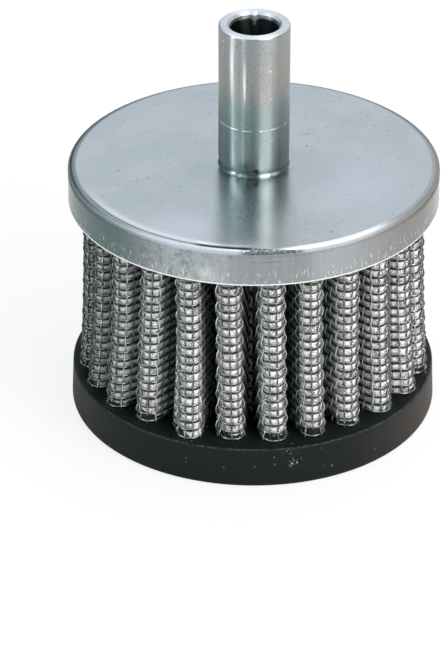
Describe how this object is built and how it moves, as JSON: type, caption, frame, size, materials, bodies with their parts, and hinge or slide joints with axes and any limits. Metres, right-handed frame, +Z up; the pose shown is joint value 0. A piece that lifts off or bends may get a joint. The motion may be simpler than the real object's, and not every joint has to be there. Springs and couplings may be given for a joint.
{
  "type": "crankcase breather filter",
  "caption": "Clamp-on crankcase breather: a plain vent tube on a drawn steel cap over a pleated wire mesh and gauze pack bedded in a moulded base",
  "frame": {"origin": "middle of the base's underside, on the surface that the filter stands on", "axes": "+Z runs up the vent tube; -Y is the side the picture is taken from; the pleated strip's seam is at the back, near +Y"},
  "size_m": [0.0752, 0.0752, 0.0846],
  "materials": {
    "zinc_plate": "bright zinc plating on drawn sheet and tube, satin",
    "mesh_wire": "bright woven wire",
    "base_rubber": "black moulded compound, satin",
    "cotton_gauze": "pale cotton gauze",
    "clip_tin": "folded tin plate",
    "sealing_compound": "cured black sealing compound"
  },
  "bodies": {
    "root": {"rubber_base": "base_rubber", "outer_screen": "mesh_wire", "gauze_media": "cotton_gauze", "inner_screen": "mesh_wire", "seam_clip": "clip_tin", "cap_sealant": "sealing_compound", "top_cap": "zinc_plate", "vent_tube": "zinc_plate"}
  },
  "joints": []
}
